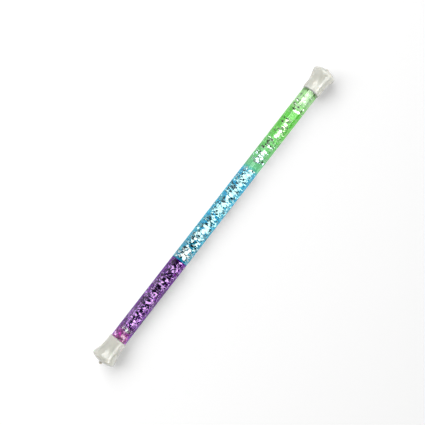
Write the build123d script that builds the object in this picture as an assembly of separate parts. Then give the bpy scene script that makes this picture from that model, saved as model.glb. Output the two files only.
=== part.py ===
from build123d import *
from math import asin, cos, degrees, radians, sin, sqrt
import os
import random

# A sealed glitter wand: a clear tube full of liquid and loose square flakes, tinted in three
# bands, with a flared cap glued on each end. Millimetres. The tube's axis is X, +X is the green
# end, +Z is the side the air bubble floats to, and the origin is the middle of the tube's axis.

# ---- driving dimensions -------------------------------------------------------------------
# tube and its colour films
EXPOSED_LENGTH = 267.5  # tube between the two cap mouths
WAND_DIAMETER = 14.4  # over the colour films
TUBE_WALL = 1.0
FILM_THICKNESS = 0.12
FILM_GAP = 0.02  # film to tube
BLUE_BAND_LENGTH = 100.6  # the middle band; green and purple take the rest

# end caps
SOCKET_DEPTH = 15.0  # how far the tube reaches into a cap
SOCKET_CLEARANCE = 0.05  # cap to film, all round
CAP_MOUTH_WALL = 0.85
CAP_MOUTH_BEVEL = 0.3
CAP_NECK_LENGTH = 7.0  # the nearly straight stretch from the mouth
CAP_NECK_GROWTH = 0.15  # how much the neck's radius grows over that stretch
CAP_FLARE = 2.45  # how far the rim stands out past the mouth's edge
CAP_FLARE_STEEPNESS = 1.7  # the flare's slope at the rim, over its mean slope
CAP_RIM_LAND = 1.6  # the straight outer edge of the rim
CAP_DOME_HEIGHT = 3.6
CAP_END_WALL = 2.4  # cap material over the recess, at the middle
RECESS_LENGTH = 4.1  # the hollow behind the bung
RECESS_LEDGE = 1.55  # how far the socket's floor reaches in over the bung's flange

# stoppers inside the tube's ends
BUNG_FLANGE = 1.4
BUNG_SHANK_LENGTH = 6.0
BUNG_SHANK_GAP = 0.3  # shank to bore, all round
BUNG_RIB_GAP = 0.02  # sealing rib to bore, all round
BUNG_RIB_WIDTH = 0.8
BUNG_RIB_COUNT = 2
SEAT_GAP = 0.05  # between a bung's flange and the faces it sits between

# vent pins in the caps' ends
PIN_HEAD_DIAMETER = 3.3
PIN_HEAD_HEIGHT = 2.0
PIN_SHANK_DIAMETER = 1.6
PIN_TAIL = 1.2  # shank inside the recess
PIN_CLEARANCE = 0.05

# bead of cement at each cap's mouth
BEAD_WIDTH = 0.6  # along the tube
BEAD_HEIGHT = 0.5
BEAD_GAP = 0.02

# liquid and air bubble
LIQUID_GAP = 0.03  # liquid to the walls that hold it
BUBBLE_LENGTH = 25.0
BUBBLE_DEPTH = 3.0
BUBBLE_BELLY_RADIUS = 7.6  # of the round underside
BUBBLE_GAP = 0.12  # bubble to the bore and to the bungs
BUBBLE_POCKET_GAP = 0.06  # bubble to the liquid round it

# glitter: each group of flakes has a lane to itself, a thin coaxial sleeve of room
FLAKE_SIDE = 2.0
FLAKE_THICKNESS = 0.06
LANE_PLAY = 0.2  # how much deeper a lane is than a flake lying straight in it
LANE_GAP = 0.04
LANE_WALL_GAP = 0.16  # outermost lane to the bore
LANE_ROOM = 0.12  # liquid kept clear of a lane
GLITTER_END_GAP = 0.5  # flakes to the bungs
FLAKE_SPACING = 0.1  # least room between neighbours in one group
FLAKE_BUBBLE_ROOM = 0.1  # flakes to the bubble's path above them
FLAKE_TRIES = 6000
SETTLED_SHARE = {"purple": 0.6, "blue": 0.8, "green": 0.8}  # of flakes in the lower half
FLAKE_COUNTS = {
    "purple": {"outer": 150, "middle": 120, "inner": 80},
    "blue": {"outer": 90, "middle": 64, "inner": 44},
    "green": {"outer": 34, "middle": 26, "inner": 18},
}

# ---- sizes that follow --------------------------------------------------------------------
film_radius = WAND_DIAMETER / 2
tube_radius = film_radius - FILM_THICKNESS - FILM_GAP
bore_radius = tube_radius - TUBE_WALL
mouth_x = EXPOSED_LENGTH / 2
tube_end_x = mouth_x + SOCKET_DEPTH
chamber_end_x = tube_end_x - BUNG_SHANK_LENGTH
blue_end_x = BLUE_BAND_LENGTH / 2
socket_radius = film_radius + SOCKET_CLEARANCE
mouth_radius = socket_radius + CAP_MOUTH_WALL
socket_end_x = tube_end_x + BUNG_FLANGE + 2 * SEAT_GAP
recess_end_x = socket_end_x + RECESS_LENGTH
cap_end_x = recess_end_x + CAP_END_WALL
bubble_radius = bore_radius - BUBBLE_GAP
bubble_end_x = chamber_end_x - BUBBLE_GAP
belly_z = bubble_radius - BUBBLE_DEPTH + BUBBLE_BELLY_RADIUS
glitter_end_x = chamber_end_x - GLITTER_END_GAP
half_flake = FLAKE_SIDE / 2
half_diagonal = half_flake * sqrt(2)

# each colour's stretch of the tube
ZONES = {
    "purple": (-glitter_end_x, -blue_end_x),
    "blue": (-blue_end_x, blue_end_x),
    "green": (blue_end_x, glitter_end_x),
}
DEPTHS = ("outer", "middle", "inner")


def ring(inner, outer, start_x, end_x):
    """A plain tube along X, or a rod where inner is 0."""
    length = end_x - start_x
    body = Cylinder(outer, length)
    if inner:
        body -= Cylinder(inner, length)
    return Pos((start_x + end_x) / 2, 0, 0) * Rot(0, 90, 0) * body


def turned(outline):
    """A solid turned about X from the edges of an outline drawn over the axis in the XY plane."""
    return revolve(make_face(outline), Axis.X)


def at_end(piece, end):
    """A piece drawn for the green end, or that piece turned round to the purple end."""
    return piece if end == "green" else Rot(0, 0, 180) * piece


# ---- tube, films, caps --------------------------------------------------------------------
def make_tube():
    return ring(bore_radius, tube_radius, -tube_end_x, tube_end_x)


def make_film(start_x, end_x):
    return ring(tube_radius + FILM_GAP, film_radius, start_x, end_x)


def make_cap():
    """A trumpet-shaped cap: straight neck, flare, rim and domed end, with a blind socket."""
    neck = mouth_radius + CAP_NECK_GROWTH
    rim = mouth_radius + CAP_FLARE
    bevel_x = mouth_x + CAP_MOUTH_BEVEL
    neck_x = mouth_x + CAP_NECK_LENGTH
    land_end_x = cap_end_x - CAP_DOME_HEIGHT
    flare_end_x = land_end_x - CAP_RIM_LAND
    neck_slope = CAP_NECK_GROWTH / CAP_NECK_LENGTH
    rim_slope = CAP_FLARE_STEEPNESS * (rim - neck) / (flare_end_x - neck_x)
    dome = EllipticalCenterArc(
        (land_end_x, 0), CAP_DOME_HEIGHT, rim, start_angle=0, arc_size=90
    )
    body = turned(
        [
            Line((mouth_x, 0), (mouth_x, mouth_radius - CAP_MOUTH_BEVEL)),
            Line((mouth_x, mouth_radius - CAP_MOUTH_BEVEL), (bevel_x, mouth_radius)),
            Line((bevel_x, mouth_radius), (neck_x, neck)),
            Spline(
                (neck_x, neck),
                (flare_end_x, rim),
                tangents=[(1, neck_slope), (1, rim_slope)],
            ),
            Line((flare_end_x, rim), (land_end_x, rim)),
            dome,
            Line((cap_end_x, 0), (mouth_x, 0)),
        ]
    )
    socket = ring(0, socket_radius, mouth_x, socket_end_x)
    recess = ring(0, socket_radius - RECESS_LEDGE, socket_end_x, recess_end_x)
    vent = ring(0, PIN_SHANK_DIAMETER / 2 + PIN_CLEARANCE, recess_end_x, cap_end_x)
    return body - socket - recess - vent


# ---- stoppers, pins and cement ------------------------------------------------------------
def make_bung():
    """A stopper: a flange over the tube's end and a shank in the bore with sealing ribs."""
    seat_x = tube_end_x + SEAT_GAP
    bung = ring(0, film_radius, seat_x, seat_x + BUNG_FLANGE)
    bung += ring(0, bore_radius - BUNG_SHANK_GAP, chamber_end_x, seat_x)
    pitch = BUNG_SHANK_LENGTH / (BUNG_RIB_COUNT + 1)
    for number in range(BUNG_RIB_COUNT):
        middle = chamber_end_x + (number + 1) * pitch
        rib = (middle - BUNG_RIB_WIDTH / 2, middle + BUNG_RIB_WIDTH / 2)
        bung += ring(0, bore_radius - BUNG_RIB_GAP, *rib)
    return bung


def make_vent_pin():
    """A round-headed pin: its shank fills the cap's vent hole and its head stands outside."""
    head = PIN_HEAD_DIAMETER / 2
    neck_x = cap_end_x + PIN_HEAD_HEIGHT - head
    pin = ring(0, head, cap_end_x, neck_x)
    pin += Pos(neck_x, 0, 0) * Sphere(head) & ring(0, head, neck_x, neck_x + head)
    pin += ring(0, PIN_SHANK_DIAMETER / 2, recess_end_x - PIN_TAIL, cap_end_x)
    return pin


def make_glue_bead():
    """The hollow-faced bead of cement in the corner between the film and the cap's mouth."""
    foot = film_radius + BEAD_GAP
    back_x = mouth_x - BEAD_GAP
    tip, top = (back_x - BEAD_WIDTH, foot), (back_x, foot + BEAD_HEIGHT)
    hollow = (back_x - BEAD_WIDTH / 3, foot + BEAD_HEIGHT / 3)
    return turned(
        [
            Line(tip, (back_x, foot)),
            Line((back_x, foot), top),
            ThreePointArc(top, hollow, tip),
        ]
    )


# ---- liquid and air bubble ----------------------------------------------------------------
def bubble_space(growth, end_x):
    """A rod with a ball nose, parallel to the axis, whose underside is the bubble's belly."""
    belly = BUBBLE_BELLY_RADIUS + growth
    nose_length = sqrt(BUBBLE_DEPTH * (2 * BUBBLE_BELLY_RADIUS - BUBBLE_DEPTH))
    nose_x = bubble_end_x - BUBBLE_LENGTH + nose_length
    space = ring(0, belly, nose_x, end_x) + Pos(nose_x, 0, 0) * Sphere(belly)
    return Pos(0, 0, belly_z) * space


def make_bubble():
    """The air: what the top of the bore leaves of the ball-nosed rod."""
    bore = ring(0, bubble_radius, -chamber_end_x, bubble_end_x)
    return bubble_space(0, bubble_end_x) & bore


def make_liquid():
    """The liquid round the bubble, with a sleeve of room in it for each group of flakes."""
    end_x = chamber_end_x - LIQUID_GAP
    radius = bore_radius - LIQUID_GAP
    liquid = ring(0, radius, -end_x, end_x)
    for colour, (start, end) in ZONES.items():
        for depth in DEPTHS:
            inner, outer = lane_of(colour, depth)
            liquid -= ring(inner - LANE_ROOM, outer + LANE_ROOM, start, end)
    return liquid - bubble_space(BUBBLE_POCKET_GAP, chamber_end_x)


# ---- glitter ------------------------------------------------------------------------------
def lane_of(colour, depth):
    """Inner and outer radius of a group's lane.

    The lanes are dealt to the colours in turn from the wall inwards, so that every group can
    slide along the whole tube without meeting another. A flake's edges stand further out than
    its middle, the more so near the axis, and each lane is as deep as that needs.
    """
    number = DEPTHS.index(depth) * len(ZONES) + list(ZONES).index(colour)
    outer = bore_radius - LANE_WALL_GAP
    for _ in range(number + 1):
        lane_outer = outer
        middle = sqrt((lane_outer - LANE_PLAY) ** 2 - half_flake**2)
        lane_inner = middle - FLAKE_THICKNESS
        outer = lane_inner - LANE_GAP
    return lane_inner, lane_outer


def lie_in_lane(inner, outer, dice):
    """A random radius, spin and pitch at which a flake stays inside its lane, and its reach."""
    floor = inner + FLAKE_THICKNESS
    widest = min(sqrt(outer**2 - floor**2), half_diagonal)
    spin_limit = degrees(asin(widest / half_diagonal)) - 45
    if widest == half_diagonal:
        spin_limit = 45
    spin = dice.uniform(-spin_limit, spin_limit)
    reach = half_flake * (cos(radians(spin)) + sin(radians(abs(spin))))
    room = max(sqrt(outer**2 - reach**2) - floor, 0)
    tilt = dice.uniform(0, room) / (2 * reach)
    pitch = degrees(asin(tilt)) * dice.choice((-1, 1))
    radius = inner + FLAKE_THICKNESS / 2 + reach * tilt
    return radius, spin, pitch, reach


def clear_of_bubble(radius, angle):
    """Whether a flake at this radius and angle from the top stays out of the bubble's path."""
    y = radius * sin(angle)
    z = radius * cos(angle)
    room = BUBBLE_BELLY_RADIUS + FLAKE_BUBBLE_ROOM + half_diagonal
    return y**2 + (z - belly_z) ** 2 > room**2


def clear_of_others(x, angle, radius, placed):
    """Whether a flake keeps its spacing from all those already in its group."""
    apart = 2 * half_diagonal + FLAKE_SPACING
    for other_x, other_angle in placed:
        across = 2 * radius * sin(abs(angle - other_angle) / 2)
        if (x - other_x) ** 2 + across**2 < apart**2:
            return False
    return True


def make_glitter(colour, depth):
    """One group of loose flakes, strewn over its colour's stretch of its own lane."""
    start, end = ZONES[colour]
    inner, outer = lane_of(colour, depth)
    dice = random.Random(f"{colour} {depth}")
    flake = Box(FLAKE_SIDE, FLAKE_SIDE, FLAKE_THICKNESS)
    placed, flakes = [], []
    for _ in range(FLAKE_TRIES):
        radius, spin, pitch, reach = lie_in_lane(inner, outer, dice)
        x = dice.uniform(start + LANE_ROOM + reach, end - LANE_ROOM - reach)
        side = 180 if dice.random() < SETTLED_SHARE[colour] else 0
        angle = radians(side + dice.uniform(-90, 90))
        if not clear_of_bubble(radius, angle):
            continue
        if not clear_of_others(x, angle, radius, placed):
            continue
        placed.append((x, angle))
        stance = Pos(x, 0, 0) * Rot(-degrees(angle), 0, 0) * Pos(0, 0, radius)
        flakes.append(stance * Rot(0, pitch, 0) * Rot(0, 0, spin) * flake)
        if len(flakes) == FLAKE_COUNTS[colour][depth]:
            break
    return Compound(children=flakes)


# ---- the parts ----------------------------------------------------------------------------
nodes = {
    "tube": make_tube(),
    "tint_band_green": make_film(blue_end_x, tube_end_x),
    "tint_band_blue": make_film(-blue_end_x, blue_end_x),
    "tint_band_purple": make_film(-tube_end_x, -blue_end_x),
    "liquid_fill": make_liquid(),
    "air_bubble": make_bubble(),
}
for end in ("green", "purple"):
    nodes[f"end_cap_{end}"] = at_end(make_cap(), end)
    nodes[f"bung_{end}"] = at_end(make_bung(), end)
    nodes[f"vent_pin_{end}"] = at_end(make_vent_pin(), end)
    nodes[f"glue_bead_{end}"] = at_end(make_glue_bead(), end)
for colour in ZONES:
    for depth in DEPTHS:
        nodes[f"glitter_{colour}_{depth}"] = make_glitter(colour, depth)

os.makedirs("parts", exist_ok=True)
for name, piece in nodes.items():
    export_step(piece, f"parts/{name}.step")
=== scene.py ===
import math
import random

import bmesh
import bpy
from mathutils import Matrix, Vector


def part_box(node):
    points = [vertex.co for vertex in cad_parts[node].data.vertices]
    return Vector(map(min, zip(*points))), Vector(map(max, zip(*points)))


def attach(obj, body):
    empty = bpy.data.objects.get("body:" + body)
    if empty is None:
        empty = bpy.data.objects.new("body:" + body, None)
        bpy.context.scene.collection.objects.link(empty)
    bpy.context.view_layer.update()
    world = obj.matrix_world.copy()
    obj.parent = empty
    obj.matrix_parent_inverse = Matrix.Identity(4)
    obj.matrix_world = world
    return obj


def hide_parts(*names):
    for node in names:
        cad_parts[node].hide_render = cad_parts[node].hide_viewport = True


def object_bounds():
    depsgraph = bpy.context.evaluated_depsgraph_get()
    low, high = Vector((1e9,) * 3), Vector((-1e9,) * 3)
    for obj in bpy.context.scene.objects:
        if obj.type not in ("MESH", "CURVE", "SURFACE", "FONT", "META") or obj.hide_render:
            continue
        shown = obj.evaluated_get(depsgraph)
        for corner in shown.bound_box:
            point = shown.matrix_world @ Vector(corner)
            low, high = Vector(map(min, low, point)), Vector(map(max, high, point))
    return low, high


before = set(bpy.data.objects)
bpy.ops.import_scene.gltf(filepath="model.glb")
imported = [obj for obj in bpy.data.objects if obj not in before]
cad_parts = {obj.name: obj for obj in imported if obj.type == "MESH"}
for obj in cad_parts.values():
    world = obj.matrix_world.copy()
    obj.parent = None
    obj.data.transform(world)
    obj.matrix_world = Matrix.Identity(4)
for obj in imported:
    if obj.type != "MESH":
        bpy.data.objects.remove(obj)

# A glitter wand lying along X, green end at +X. Everything is in metres, in the frame's own axes.
MM = 0.001
CAD_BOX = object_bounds()

# ---- places read from the frame -----------------------------------------------------------
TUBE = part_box("tube")
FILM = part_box("tint_band_blue")
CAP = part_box("end_cap_green")
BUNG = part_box("bung_green")
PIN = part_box("vent_pin_green")
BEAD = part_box("glue_bead_green")
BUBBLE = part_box("air_bubble")
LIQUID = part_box("liquid_fill")

tube_end_x = TUBE[1].x
tube_radius = TUBE[1].z
film_radius = FILM[1].z
blue_end_x = FILM[1].x
mouth_x = CAP[0].x
cap_end_x = CAP[1].x
rim_radius = CAP[1].z
liquid_radius = LIQUID[1].z
liquid_end_x = LIQUID[1].x
floor_z = CAD_BOX[0].z

# ---- sizes that the frame doesn't give ----------------------------------------------------
TUBE_WALL = 1.0 * MM
SOCKET_CLEARANCE = 0.05 * MM
CAP_MOUTH_WALL = 0.85 * MM
CAP_LIP = 0.28 * MM  # the rounding of the mouth's edge
CAP_NECK_LENGTH = 7.0 * MM
CAP_NECK_GROWTH = 0.15 * MM
CAP_LAND = 1.6 * MM
CAP_DOME = 3.6 * MM
CAP_STEEPNESS = 1.7
SOCKET_DEPTH = 16.5 * MM
RECESS_LENGTH = 4.1 * MM
RECESS_LEDGE = 1.55 * MM
VENT_RADIUS = 0.85 * MM
PIN_SHANK_RADIUS = 0.8 * MM
PIN_NECK = 0.94  # of the head's radius, where the head meets the cap
FILM_WALL = 0.06 * MM  # as seen; the CAD film is thicker
BUNG_CHAMFER = 0.4 * MM
BUNG_SHANK_GAP = 0.3 * MM  # shank to bore
BUNG_RIB_GAP = 0.02 * MM  # rib to bore
BUNG_RIB_HALF = 0.4 * MM  # half of a rib's width
BUNG_RIBS = (2 * MM, 4 * MM)  # from the bung's nose
BUNG_FLANGE_GAP = 0.05 * MM  # flange to the tube's end
BEAD_GAP = 0.02 * MM  # bead to film
BEAD_HOLLOW = (0.66, 0.33)  # the hollow of the bead's face, as shares of its length and height
BELLY_RADIUS = 7.6 * MM
BELLY_FULLNESS = 0.12  # how far the bubble's underside goes from a lens to a round
SMALLEST_RING = 0.05 * MM
FLAKE_SIDE = 2.0 * MM
FLAKE_THICKNESS = 0.05 * MM
FLAKE_CURL = 0.04 * MM
STREWN_SIZES = (0.85, 1.0)  # shares of the full side
SETTLED_SHARE = 0.8  # of the strewn flakes, gathered at the bottom
SETTLED_SPREAD = 0.9  # radians
BUBBLE_ROOM = 1.5 * MM  # middle of a strewn flake to the bubble's path
STAIN_END = -120 * MM
AROUND = 128  # facets round a turned piece

bore_radius = tube_radius - TUBE_WALL
socket_radius = film_radius + SOCKET_CLEARANCE
mouth_radius = socket_radius + CAP_MOUTH_WALL

# refractive indices
PLASTIC = 1.49
WATER = 1.36

# colours, as the light that a film lets through once
FILM_DIMMING = 0.9  # light that it lets through to the flakes and the floor, of every colour
GREEN = ((0.53, 0.837, 0.44), (0.60, 0.84, 0.70), (0.70, 0.86, 0.65))
BLUE = ((0.25, 0.745, 0.87), (0.29, 0.68, 0.77))
PURPLE = ((0.43, 0.1, 0.59), (0.7, 0.62, 0.87))


# ---- mesh helpers -------------------------------------------------------------------------
def join_rings(bm, rings, around):
    """Faces between rings of points that follow each other; a ring of one point is a pole."""
    for one, two in zip(rings, rings[1:]):
        for k in range(around):
            k2 = (k + 1) % around
            quad = [one[k % len(one)], one[k2 % len(one)], two[k2 % len(two)], two[k % len(two)]]
            corners = list(dict.fromkeys(quad))
            if len(corners) >= 3:
                bm.faces.new(corners)


def finish_mesh(name, bm, body, sharp):
    """The object made from bm, smooth but for edges sharper than the angle, riding a body."""
    bmesh.ops.recalc_face_normals(bm, faces=bm.faces)
    mesh = bpy.data.meshes.new(name)
    bm.to_mesh(mesh)
    bm.free()
    mesh.polygons.foreach_set("use_smooth", [True] * len(mesh.polygons))
    mesh.set_sharp_from_angle(angle=math.radians(sharp))
    ob = bpy.data.objects.new(name, mesh)
    bpy.context.scene.collection.objects.link(ob)
    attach(ob, body)
    return ob


def turn(name, outline, body, closed=True, around=AROUND, sharp=35):
    """A piece turned about X. The outline is (x, radius) points; a point at radius 0 is a pole."""
    bm = bmesh.new()
    rings = []
    for x, r in outline:
        if r < 1e-9:
            rings.append([bm.verts.new((x, 0, 0))])
            continue
        angles = [2 * math.pi * k / around for k in range(around)]
        rings.append([bm.verts.new((x, r * math.sin(a), r * math.cos(a))) for a in angles])
    join_rings(bm, rings + [rings[0]] if closed else rings, around)
    return finish_mesh(name, bm, body, sharp)


def mirrored(outline, end):
    """An outline drawn for the green end, or its mirror image for the purple end."""
    return outline if end == "green" else [(-x, r) for x, r in outline]


def arc(centre, radii, start, end, steps):
    """Points on an ellipse's arc, in degrees from +x towards +r."""
    points = []
    for k in range(steps + 1):
        a = math.radians(start + (end - start) * k / steps)
        points.append((centre[0] + radii[0] * math.cos(a), centre[1] + radii[1] * math.sin(a)))
    return points


# ---- material helpers ---------------------------------------------------------------------
def new_material(name):
    mat = bpy.data.materials.new(name)
    mat.use_nodes = True
    mat.node_tree.nodes.clear()
    out = mat.node_tree.nodes.new("ShaderNodeOutputMaterial")
    return mat, mat.node_tree, out


def node(tree, kind, **values):
    """A shader node; values named as its inputs set them, an output socket is linked to them."""
    made = tree.nodes.new("ShaderNode" + kind)
    for key, value in values.items():
        socket = made.inputs[key.replace("_", " ")]
        if isinstance(value, bpy.types.NodeSocket):
            tree.links.new(value, socket)
        else:
            socket.default_value = value
    return made


def mix(tree, factor, one, two):
    made = tree.nodes.new("ShaderNodeMixShader")
    if isinstance(factor, bpy.types.NodeSocket):
        tree.links.new(factor, made.inputs[0])
    else:
        made.inputs[0].default_value = factor
    tree.links.new(one, made.inputs[1])
    tree.links.new(two, made.inputs[2])
    return made.outputs[0]


def to_lamps(tree, shader, colour=(1, 1, 1, 1)):
    """The shader to the eye, also by way of glass, and clear of this colour to other light."""
    path = tree.nodes.new("ShaderNodeLightPath")
    clear = node(tree, "BsdfTransparent", Color=colour).outputs[0]
    seen = mix(tree, path.outputs["Is Glossy Ray"], shader, clear)
    seen = mix(tree, path.outputs["Is Transmission Ray"], seen, shader)
    seen = mix(tree, path.outputs["Is Diffuse Ray"], seen, clear)
    return mix(tree, path.outputs["Is Shadow Ray"], seen, clear)


def ramp(tree, factor, stops):
    """A colour ramp from (place, colour) stops."""
    made = tree.nodes.new("ShaderNodeValToRGB")
    tree.links.new(factor, made.inputs[0])
    elements = made.color_ramp.elements
    while len(elements) < len(stops):
        elements.new(0.5)
    for element, (place, colour) in zip(elements, stops):
        element.position = place
        element.color = (*colour, 1)
    return made.outputs[0]


def along(tree, start, end):
    """0 to 1 along X between two places."""
    coords = tree.nodes.new("ShaderNodeTexCoord")
    parts = node(tree, "SeparateXYZ", Vector=coords.outputs["Object"])
    spread = tree.nodes.new("ShaderNodeMapRange")
    tree.links.new(parts.outputs["X"], spread.inputs["Value"])
    spread.inputs["From Min"].default_value = start
    spread.inputs["From Max"].default_value = end
    return spread.outputs[0]


# ---- materials ----------------------------------------------------------------------------
def glass(name, ior):
    mat, tree, out = new_material(name)
    shader = node(tree, "BsdfGlass", Color=(1, 1, 1, 1), Roughness=0.0, IOR=ior)
    tree.links.new(to_lamps(tree, shader.outputs[0]), out.inputs[0])
    return mat


def air(name, edge_shade_colour):
    """The bubble: clear inside, a soft glint on its top, and a painted dark line of shade where its sides
    curve down.
    """
    mat, tree, out = new_material(name)
    inside = node(tree, "BsdfGlass", Color=(1, 1, 1, 1), Roughness=0.0, IOR=1 / WATER)
    glint = node(tree, "BsdfGlossy", Color=(1, 1, 1, 1), Roughness=0.08)
    # painted shade: a dark see-through tint laid on the bubble's sides where they curve away, standing for
    # the light those sides turn away
    rim = node(tree, "BsdfTransparent", Color=(*edge_shade_colour, 1))
    share = ramp(tree, along(tree, BUBBLE[0].x, BUBBLE[1].x), [(0.1, (0.22,) * 3), (0.35, (0.04,) * 3)])
    bright = mix(tree, share, inside.outputs[0], glint.outputs[0])
    facing = node(tree, "LayerWeight", Blend=0.5)
    edge = ramp(tree, facing.outputs["Facing"], [(0.2, (0, 0, 0)), (0.42, (1, 1, 1))])
    tree.links.new(to_lamps(tree, mix(tree, edge, bright, rim.outputs[0])), out.inputs[0])
    return mat


def film(name, start, end, stops):
    """A clear dyed film, whose two faces share its work.

    Light on its way to the flakes and the floor is only dimmed, so the shadow stays grey. What is
    seen through the film takes the tint of both ways, in and out, less that dimming.
    """
    mat, tree, out = new_material(name)
    dim = math.sqrt(FILM_DIMMING)
    stops = [(p, [c / dim for c in rgb]) for p, rgb in stops]
    clear = node(tree, "BsdfTransparent", Color=ramp(tree, along(tree, start, end), stops))
    gloss = node(tree, "BsdfGlossy", Color=(1, 1, 1, 1), Roughness=0.03)
    fresnel = node(tree, "Fresnel", IOR=1.45)
    geometry = tree.nodes.new("ShaderNodeNewGeometry")
    outside = tree.nodes.new("ShaderNodeMath")
    outside.operation = "SUBTRACT"
    outside.inputs[0].default_value = 1
    tree.links.new(geometry.outputs["Backfacing"], outside.inputs[1])
    share = tree.nodes.new("ShaderNodeMath")
    share.operation = "MULTIPLY"
    tree.links.new(fresnel.outputs[0], share.inputs[0])
    tree.links.new(outside.outputs[0], share.inputs[1])
    capped = tree.nodes.new("ShaderNodeMath")
    capped.operation = "MINIMUM"
    tree.links.new(share.outputs[0], capped.inputs[0])
    capped.inputs[1].default_value = 0.06
    seen = mix(tree, capped.outputs[0], clear.outputs[0], gloss.outputs[0])
    tree.links.new(to_lamps(tree, seen, (dim, dim, dim, 1)), out.inputs[0])
    return mat


def liquid(name):
    mat, tree, out = new_material(name)
    clear = node(tree, "BsdfTransparent", Color=(0.985, 0.995, 0.995, 1))
    tree.links.new(clear.outputs[0], out.inputs[0])
    return mat


def flake_foil(name, unevenness, stained_from, stained_to):
    """Silver foil: bright, a little brushed, each flake lying a little differently.

    Flakes before the second place are stained pink by the dye that gathers at the cap. The floor
    doesn't see the foil, so the glints stay off the paper.
    """
    mat, tree, out = new_material(name)
    geometry = tree.nodes.new("ShaderNodeNewGeometry")
    white = tree.nodes.new("ShaderNodeTexWhiteNoise")
    white.noise_dimensions = "1D"
    tree.links.new(geometry.outputs["Random Per Island"], white.inputs["W"])
    centred = tree.nodes.new("ShaderNodeVectorMath")
    centred.operation = "SUBTRACT"
    tree.links.new(white.outputs["Color"], centred.inputs[0])
    centred.inputs[1].default_value = (0.5, 0.5, 0.5)
    scaled = tree.nodes.new("ShaderNodeVectorMath")
    scaled.operation = "SCALE"
    tree.links.new(centred.outputs[0], scaled.inputs[0])
    scaled.inputs["Scale"].default_value = unevenness
    tilted = tree.nodes.new("ShaderNodeVectorMath")
    tilted.operation = "ADD"
    tree.links.new(geometry.outputs["Normal"], tilted.inputs[0])
    tree.links.new(scaled.outputs[0], tilted.inputs[1])
    unit = tree.nodes.new("ShaderNodeVectorMath")
    unit.operation = "NORMALIZE"
    tree.links.new(tilted.outputs[0], unit.inputs[0])
    tone = ramp(tree, white.outputs["Value"], [(0, (0.72, 0.74, 0.76)), (1, (0.97, 0.97, 0.96))])
    place = along(tree, stained_from, stained_to)
    stain = ramp(tree, place, [(0.6, (1.0, 0.1, 0.85)), (1, (1, 1, 1))])
    dull = ramp(tree, place, [(0.6, (0.5,) * 3), (1, (0.07,) * 3)])
    dyed = tree.nodes.new("ShaderNodeVectorMath")
    dyed.operation = "MULTIPLY"
    tree.links.new(tone, dyed.inputs[0])
    tree.links.new(stain, dyed.inputs[1])
    shader = node(
        tree,
        "BsdfPrincipled",
        Metallic=1.0,
        Roughness=dull,
        Base_Color=dyed.outputs[0],
        Normal=unit.outputs[0],
    )
    path = tree.nodes.new("ShaderNodeLightPath")
    clear = node(tree, "BsdfTransparent", Color=(1, 1, 1, 1))
    seen = mix(tree, path.outputs["Is Diffuse Ray"], shader.outputs[0], clear.outputs[0])
    tree.links.new(seen, out.inputs[0])
    return mat


def milky(name, colour, open_share):
    """Pearly translucent plastic: light scatters in it, and what is close behind shows faintly."""
    mat, tree, out = new_material(name)
    coords = tree.nodes.new("ShaderNodeTexCoord")
    noise = node(tree, "TexNoise", Vector=coords.outputs["Object"], Scale=260.0, Detail=3.0)
    tone = ramp(tree, noise.outputs[0], [(0.3, [c * 0.95 for c in colour]), (0.7, colour)])
    shader = node(
        tree,
        "BsdfPrincipled",
        Base_Color=tone,
        Roughness=0.35,
        IOR=1.5,
        Coat_Weight=1.0,
        Coat_Roughness=0.07,
        Coat_IOR=1.65,
        Subsurface_Weight=1.0,
        Subsurface_Radius=(1.0, 0.9, 0.8),
        Subsurface_Scale=0.0025,
    )
    clear = node(tree, "BsdfTransparent", Color=(1, 1, 1, 1))
    tree.links.new(mix(tree, open_share, shader.outputs[0], clear.outputs[0]), out.inputs[0])
    return mat


# ---- turned pieces ------------------------------------------------------------------------
def make_tube():
    ends = (-tube_end_x, tube_end_x)
    outline = [(ends[0], bore_radius), (ends[0], tube_radius), (ends[1], tube_radius), (ends[1], bore_radius)]
    ob = turn("tube_wall", outline, "wand")
    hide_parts("tube")
    ob.data.materials.append(glass("clear tube", PLASTIC))
    ob.data.materials.append(glass("tube against liquid", PLASTIC / WATER))
    middle = (bore_radius + tube_radius) / 2
    for face in ob.data.polygons:
        inner = math.hypot(face.center.y, face.center.z) < middle
        face.material_index = 1 if inner and abs(face.normal.x) < 0.5 else 0


def make_film(colour, start, end, stops):
    outline = [
        (start, film_radius - FILM_WALL),
        (start, film_radius),
        (end, film_radius),
        (end, film_radius - FILM_WALL),
    ]
    ob = turn(f"film_{colour}", outline, "wand")
    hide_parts(f"tint_band_{colour}")
    ob.data.materials.append(film(f"{colour} film", start, end, stops))


def cap_outline():
    """The green end's cap: rounded mouth, neck, flare, rim, dome, then the socket inside."""
    neck_x = mouth_x + CAP_NECK_LENGTH
    neck_r = mouth_radius + CAP_NECK_GROWTH
    land_end_x = cap_end_x - CAP_DOME
    flare_end_x = land_end_x - CAP_LAND
    run = flare_end_x - neck_x
    neck_slope = CAP_NECK_GROWTH / CAP_NECK_LENGTH
    rim_slope = CAP_STEEPNESS * (rim_radius - neck_r) / run
    flare = []
    for k in range(25):
        t = k / 24
        start, leave = 2 * t**3 - 3 * t**2 + 1, t**3 - 2 * t**2 + t
        end, arrive = 3 * t**2 - 2 * t**3, t**3 - t**2
        r = start * neck_r + leave * run * neck_slope + end * rim_radius + arrive * run * rim_slope
        flare.append((neck_x + run * t, r))
    mouth = arc((mouth_x + CAP_LIP, mouth_radius - CAP_LIP), (CAP_LIP, CAP_LIP), 180, 90, 5)
    vent_angle = math.degrees(math.asin(VENT_RADIUS / rim_radius))
    dome = arc((land_end_x, 0), (CAP_DOME, rim_radius), 90, vent_angle, 40)
    socket_x = mouth_x + SOCKET_DEPTH
    recess_x = socket_x + RECESS_LENGTH
    inside = [
        (recess_x, VENT_RADIUS),
        (recess_x, socket_radius - RECESS_LEDGE),
        (socket_x, socket_radius - RECESS_LEDGE),
        (socket_x, socket_radius),
        (mouth_x, socket_radius),
    ]
    return mouth + flare + dome + inside


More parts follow.
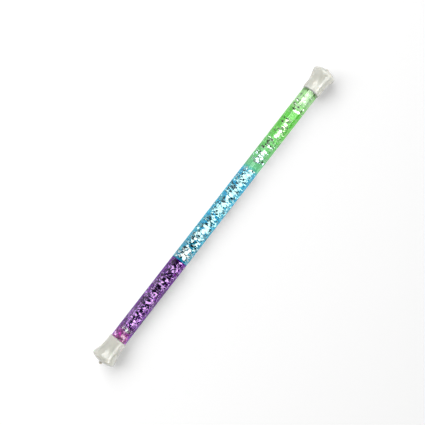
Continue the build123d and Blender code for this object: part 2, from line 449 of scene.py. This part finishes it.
def make_cap(end, material):
    ob = turn(f"cap_{end}", mirrored(cap_outline(), end), "wand", sharp=25)
    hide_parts(f"end_cap_{end}")
    ob.data.materials.append(material)
    return ob


def make_pin(end, material):
    head = PIN[1].z
    neck_x = PIN[1].x - head
    outline = [(PIN[0].x, 0), (PIN[0].x, PIN_SHANK_RADIUS)]
    outline += [(cap_end_x, PIN_SHANK_RADIUS), (cap_end_x, head * PIN_NECK)]
    outline += arc((neck_x, 0), (head, head), 90, 0, 12)[:-1] + [(PIN[1].x, 0)]
    ob = turn(f"pin_{end}", mirrored(outline, end), "wand", closed=False, around=48)
    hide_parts(f"vent_pin_{end}")
    ob.data.materials.append(material)
    return ob


def make_bung(end, material):
    """A stopper: chamfered nose, shank with sealing ribs, flange over the tube's end."""
    nose_x, end_x, flange_radius = BUNG[0].x, BUNG[1].x, BUNG[1].z
    flange_x = tube_end_x + BUNG_FLANGE_GAP
    shank = bore_radius - BUNG_SHANK_GAP
    rib = bore_radius - BUNG_RIB_GAP
    outline = [(nose_x, 0), (nose_x, shank - BUNG_CHAMFER), (nose_x + BUNG_CHAMFER, shank)]
    for place in BUNG_RIBS:
        outline += arc((nose_x + place, shank), (BUNG_RIB_HALF, rib - shank), 180, 0, 8)
    outline += [(flange_x, shank), (flange_x, flange_radius), (end_x, flange_radius), (end_x, 0)]
    ob = turn(f"stopper_{end}", mirrored(outline, end), "wand", closed=False, around=96)
    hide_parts(f"bung_{end}")
    ob.data.materials.append(material)


def make_bead(end, material):
    lo, hi = BEAD
    foot = film_radius + BEAD_GAP
    hollow = (lo.x + (hi.x - lo.x) * BEAD_HOLLOW[0], foot + (hi.z - foot) * BEAD_HOLLOW[1])
    outline = [(lo.x, foot), (hi.x, foot), (hi.x, hi.z), hollow]
    ob = turn(f"cement_{end}", mirrored(outline, end), "wand", around=96)
    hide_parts(f"glue_bead_{end}")
    ob.data.materials.append(material)


def make_liquid():
    """The liquid, as a closed cylinder: the bubble and the flakes lie inside it."""
    outline = [(-liquid_end_x, 0), (-liquid_end_x, liquid_radius)]
    outline += [(liquid_end_x, liquid_radius), (liquid_end_x, 0)]
    ob = turn("liquid_body", outline, "wand", closed=False)
    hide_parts("liquid_fill")
    ob.data.materials.append(liquid("water"))


# ---- the bubble ---------------------------------------------------------------------------
def bubble_ring(bm, x, nose_x, around):
    """One cross-section of the bubble: the bore's curve above, a rounded belly below."""
    lo, hi = BUBBLE
    top_r = hi.z
    belly_z = lo.z + BELLY_RADIUS
    belly_r = math.sqrt(BELLY_RADIUS**2 - min(x - nose_x, 0) ** 2)
    edge_z = (top_r**2 + belly_z**2 - belly_r**2) / (2 * belly_z)
    half = math.sqrt(max(top_r**2 - edge_z**2, 0))
    depth = top_r - belly_z + belly_r
    if half < SMALLEST_RING:
        return [bm.verts.new((x, 0, top_r - depth / 2))]
    ring = []
    for k in range(around):
        a = 2 * math.pi * k / around
        y = half * math.cos(a)
        z = math.sqrt(top_r**2 - y**2)
        if math.sin(a) < 0:
            lens = z - belly_z + math.sqrt(belly_r**2 - y**2)
            z -= (1 - BELLY_FULLNESS) * lens - BELLY_FULLNESS * depth * math.sin(a)
        ring.append(bm.verts.new((x, y, z)))
    return ring


def make_bubble():
    """A long bubble under the top of the bore, rounded at its nose, flat against the stopper."""
    lo, hi = BUBBLE
    height = hi.z - lo.z
    nose_x = lo.x + math.sqrt(height * (2 * BELLY_RADIUS - height))
    bm = bmesh.new()
    around, steps = 64, 24
    places = [lo.x + (nose_x - lo.x) * (1 - math.cos(math.pi / 2 * k / steps)) for k in range(steps)]
    rings = [bubble_ring(bm, x, nose_x, around) for x in places + [nose_x, hi.x]]
    join_rings(bm, rings, around)
    bm.faces.new(rings[-1])
    ob = finish_mesh("bubble_of_air", bm, "bubble", sharp=50)
    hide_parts("air_bubble")
    # the dark green is the colour of the painted shade along the bubble's curved sides
    ob.data.materials.append(air("air in liquid", (0.1, 0.32, 0.08)))


# ---- glitter ------------------------------------------------------------------------------
def lane_of(name):
    """Least and greatest distance of a CAD group's flakes from the axis."""
    reach = [math.hypot(v.co.y, v.co.z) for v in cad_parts[name].data.vertices]
    return min(reach), max(reach)


def add_flake(bm, place, side, curl):
    """A closed, slightly curled square plate."""
    grid = []
    for level in (FLAKE_THICKNESS / 2, -FLAKE_THICKNESS / 2):
        for i in (-1, 0, 1):
            for j in (-1, 0, 1):
                sag = curl * (i * i)
                p = Vector((i * side / 2, j * side / 2, level + sag))
                grid.append(bm.verts.new(place @ p))
    top, low = grid[:9], grid[9:]
    for i in range(2):
        for j in range(2):
            a, b, c, d = i * 3 + j, i * 3 + j + 1, i * 3 + j + 4, i * 3 + j + 3
            bm.faces.new((top[a], top[d], top[c], top[b]))
            bm.faces.new((low[a], low[b], low[c], low[d]))
    rim = (0, 1, 2, 5, 8, 7, 6, 3)
    for one, two in zip(rim, rim[1:] + rim[:1]):
        bm.faces.new((top[one], top[two], low[two], low[one]))


def strew(colour, depth, count, crowding, material):
    """More flakes in a group's own lane, thicker towards the bottom, where glitter settles.

    A crowding over 1 gathers them towards the lane's -X end. They keep clear of the bubble's path,
    but not of each other or of the CAD flakes.
    """
    node_name = f"glitter_{colour}_{depth}"
    lo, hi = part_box(node_name)
    inner, outer = lane_of(node_name)
    dice = random.Random(f"more {colour} {depth}")
    bm = bmesh.new()
    made = 0
    while made < count:
        side = FLAKE_SIDE * dice.uniform(*STREWN_SIZES)
        spin = dice.uniform(0, math.pi)
        half = side / 2
        reach = half * (abs(math.cos(spin)) + abs(math.sin(spin)))
        room = math.sqrt(max(outer**2 - reach**2, 0)) - inner - 2 * FLAKE_THICKNESS
        if room < 0:
            continue
        tilt = dice.uniform(-1, 1) * room / (2 * reach)
        radius = inner + FLAKE_THICKNESS + reach * abs(tilt)
        settled = dice.random() < SETTLED_SHARE
        angle = dice.gauss(math.pi, SETTLED_SPREAD) if settled else dice.uniform(0, 2 * math.pi)
        x = lo.x + reach + (hi.x - lo.x - 2 * reach) * dice.random() ** crowding
        y, z = radius * math.sin(angle), radius * math.cos(angle)
        if abs(y) < BUBBLE[1].y + BUBBLE_ROOM and z > BUBBLE[0].z - BUBBLE_ROOM:
            continue
        place = Matrix.Translation((x, 0, 0)) @ Matrix.Rotation(-angle, 4, "X")
        place = place @ Matrix.Translation((0, 0, radius)) @ Matrix.Rotation(math.asin(tilt), 4, "Y")
        place = place @ Matrix.Rotation(spin, 4, "Z")
        add_flake(bm, place, side, dice.uniform(-1, 0) * FLAKE_CURL)
        made += 1
    ob = finish_mesh(f"more_{node_name}", bm, f"flakes_{colour}_{depth}", sharp=30)
    ob.data.materials.append(material)
    return ob


# ---- the object ---------------------------------------------------------------------------
def give(name, material):
    """A carried-over CAD node's material."""
    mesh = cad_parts[name].data
    mesh.materials.clear()
    mesh.materials.append(material)


# Each colour's own light: radiance, place, size and fade. The radiance is strong where the film over
# that colour's flakes at rest holds most back, so it suits them only there.
GLINTS = {
    "purple": ((6.8, 80.0, 4.2), (0.1, 1.0, 0.7), (1.8, 2.8), 0.2),
    "blue": ((19.0, 3.2, 2.3), (0.15, 0.35, 0.95), (1.6, 1.9), 0.0),
    "green": ((7.0, 4.0, 8.0), (0.2, 0.21, 1.0), (1.1, 0.9), 0.0),
}
UNEVENNESS = {"purple": 0.55, "blue": 0.4, "green": 0.35}
CROWDING = {"purple": 1.0, "blue": 1.0, "green": 2.2}
MORE_FLAKES = {
    "purple": {"outer": 560, "middle": 130, "inner": 40},
    "blue": {"outer": 230, "middle": 130, "inner": 60},
    "green": {"outer": 50, "middle": 36, "inner": 20},
}

make_tube()
green_stops = [(0.0, GREEN[1]), (0.4, GREEN[0]), (0.6, GREEN[0]), (0.72, GREEN[2]), (1.0, GREEN[2])]
make_film("green", blue_end_x, tube_end_x, green_stops)
blue_stops = [(0.0, BLUE[1]), (0.4, BLUE[0]), (0.95, BLUE[0]), (1.0, GREEN[1])]
make_film("blue", -blue_end_x, blue_end_x, blue_stops)
make_film("purple", -tube_end_x, -blue_end_x, [(0.19, PURPLE[1]), (0.29, PURPLE[0]), (1.0, PURPLE[0])])
make_liquid()
make_bubble()
cap_plastic = milky("pearly cap", (0.55, 0.55, 0.495), 0.28)
pin_plastic = milky("pin plastic", (0.5, 0.47, 0.4), 0.1)
rubber = milky("stopper rubber", (0.5, 0.49, 0.46), 0.0)
cement = milky("clear cement", (0.55, 0.55, 0.52), 0.5)
ends = []
for end in ("green", "purple"):
    ends += [make_cap(end, cap_plastic), make_pin(end, pin_plastic)]
    make_bung(end, rubber)
    make_bead(end, cement)
glitter = {colour: [] for colour in GLINTS}
for colour, depths in MORE_FLAKES.items():
    foil = flake_foil(f"silver foil {colour}", UNEVENNESS[colour], -mouth_x, STAIN_END)
    for depth, count in depths.items():
        give(f"glitter_{colour}_{depth}", foil)
        more = strew(colour, depth, count, CROWDING[colour], foil)
        glitter[colour] += [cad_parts[f"glitter_{colour}_{depth}"], more]


# ---- stage, light and camera --------------------------------------------------------------
FLOOR_REACH = 3.0


def make_floor():
    mesh = bpy.data.meshes.new("floor")
    signs = ((-1, -1), (1, -1), (1, 1), (-1, 1))
    corners = [(i * FLOOR_REACH, j * FLOOR_REACH, floor_z) for i, j in signs]
    mesh.from_pydata(corners, [], [(0, 1, 2, 3)])
    ob = bpy.data.objects.new("floor", mesh)
    bpy.context.scene.collection.objects.link(ob)
    mat, tree, out = new_material("paper white")
    shader = node(
        tree,
        "BsdfPrincipled",
        Base_Color=(0.72, 0.72, 0.72, 1),
        Roughness=0.9,
        Emission_Color=(1, 1, 1, 1),
        Emission_Strength=0.4,
    )
    tree.links.new(shader.outputs[0], out.inputs[0])
    mesh.materials.append(mat)
    return ob


def make_softbox(name, radiance, centre, size, fade=0.0, only=None):
    """A rectangular light facing the wand, its long side along X.

    It fades in over a share of its length from its -X edge, and it may light only some pieces.
    """
    data = bpy.data.lights.new(name, "AREA")
    data.shape = "RECTANGLE"
    data.size, data.size_y = size
    data.color = [c / max(radiance) for c in radiance]
    data.energy = max(radiance) * math.pi * size[0] * size[1]
    if fade:
        data.use_nodes = True
        tree = data.node_tree
        geometry = tree.nodes.new("ShaderNodeNewGeometry")
        parts = node(tree, "SeparateXYZ", Vector=geometry.outputs["Parametric"])
        spread = tree.nodes.new("ShaderNodeMapRange")
        spread.interpolation_type = "SMOOTHSTEP"
        tree.links.new(parts.outputs["X"], spread.inputs["Value"])
        spread.inputs["From Max"].default_value = fade
        tree.links.new(spread.outputs[0], tree.nodes["Emission"].inputs["Strength"])
    ob = bpy.data.objects.new(name, data)
    back = Vector(centre).normalized()
    side = (Vector((1, 0, 0)) - back * back.x).normalized()
    turned = Matrix((side, back.cross(side), back)).transposed().to_4x4()
    ob.matrix_world = Matrix.Translation(centre) @ turned
    bpy.context.scene.collection.objects.link(ob)
    if only:
        receivers = bpy.data.collections.new(name + " lights")
        for piece in only:
            receivers.objects.link(piece)
        ob.light_linking.receiver_collection = receivers


def make_world(dark, light):
    """A dim room, lighter on its +Y side."""
    world = bpy.data.worlds.new("studio")
    world.use_nodes = True
    tree = world.node_tree
    coords = tree.nodes.new("ShaderNodeTexCoord")
    parts = node(tree, "SeparateXYZ", Vector=coords.outputs["Generated"])
    spread = tree.nodes.new("ShaderNodeMapRange")
    spread.interpolation_type = "SMOOTHSTEP"
    tree.links.new(parts.outputs["Y"], spread.inputs["Value"])
    spread.inputs["From Min"].default_value = 0.25
    spread.inputs["From Max"].default_value = 0.8
    spread.inputs["To Min"].default_value = dark
    spread.inputs["To Max"].default_value = light
    background = tree.nodes["Background"]
    background.inputs["Color"].default_value = (1, 1, 1, 1)
    tree.links.new(spread.outputs[0], background.inputs["Strength"])
    bpy.context.scene.world = world


AXIS_IN_VIEW = math.radians(52.4)  # the wand's slope across the picture
OFF_VERTICAL = math.radians(7.5)
CAMERA_DISTANCE = 0.84
LENS = 83.9
AIM = (-2.9 * MM, 1.2 * MM)  # right and up in the picture, from the wand's middle


def make_camera():
    right = Vector((math.cos(AXIS_IN_VIEW), -math.sin(AXIS_IN_VIEW), 0))
    up = Vector((math.sin(AXIS_IN_VIEW), math.cos(AXIS_IN_VIEW), 0))
    aim = right * AIM[0] + up * AIM[1]
    back = Vector((0, 0, 1)) * math.cos(OFF_VERTICAL) - up * math.sin(OFF_VERTICAL)
    data = bpy.data.cameras.new("camera")
    data.lens = LENS
    data.clip_start, data.clip_end = 0.01, 20
    ob = bpy.data.objects.new("camera", data)
    ob.location = aim + back * CAMERA_DISTANCE
    seen_up = (up - back * up.dot(back)).normalized()
    seen_right = seen_up.cross(back)
    turned = Matrix((seen_right, seen_up, back)).transposed().to_4x4()
    ob.matrix_world = Matrix.Translation(ob.location) @ turned
    bpy.context.scene.collection.objects.link(ob)
    bpy.context.scene.camera = ob


floor = make_floor()
flakes = sum(glitter.values(), [])
meshes = [ob for ob in bpy.context.scene.objects if ob.type == "MESH"]
pieces = [ob for ob in meshes if ob is not floor and ob not in flakes]
make_softbox("bright softbox", (5.6, 5.6, 5.6), (0.45, 0.24, 1.05), (0.9, 0.86), 0.45, pieces)
make_softbox("side softbox", (3.5, 3.5, 3.5), (0.52, -0.72, 0.92), (0.6, 1.2), 0.3, pieces)
make_softbox("floor light", (2.9, 2.9, 2.9), (-0.05, 0.7, 1.0), (1.8, 1.0), 0.0, [floor])
make_softbox("left fill", (2.4, 2.4, 2.4), (-0.7, 0.2, 1.0), (0.8, 0.8), 0.0, ends)
make_softbox("cap fill", (3.6, 3.6, 3.6), (0, -1.0, 0.65), (1.6, 0.6), 0.0, ends)
for colour, (glint, place, size, fade) in GLINTS.items():
    make_softbox(f"{colour} glint", glint, place, size, fade, glitter[colour])
make_world(0.06, 1.1)
make_camera()
bpy.context.scene.view_settings.view_transform = "Standard"
bpy.context.scene.cycles.transparent_max_bounces = 48
bpy.context.scene.cycles.max_bounces = 16
bpy.context.scene.cycles.transmission_bounces = 16
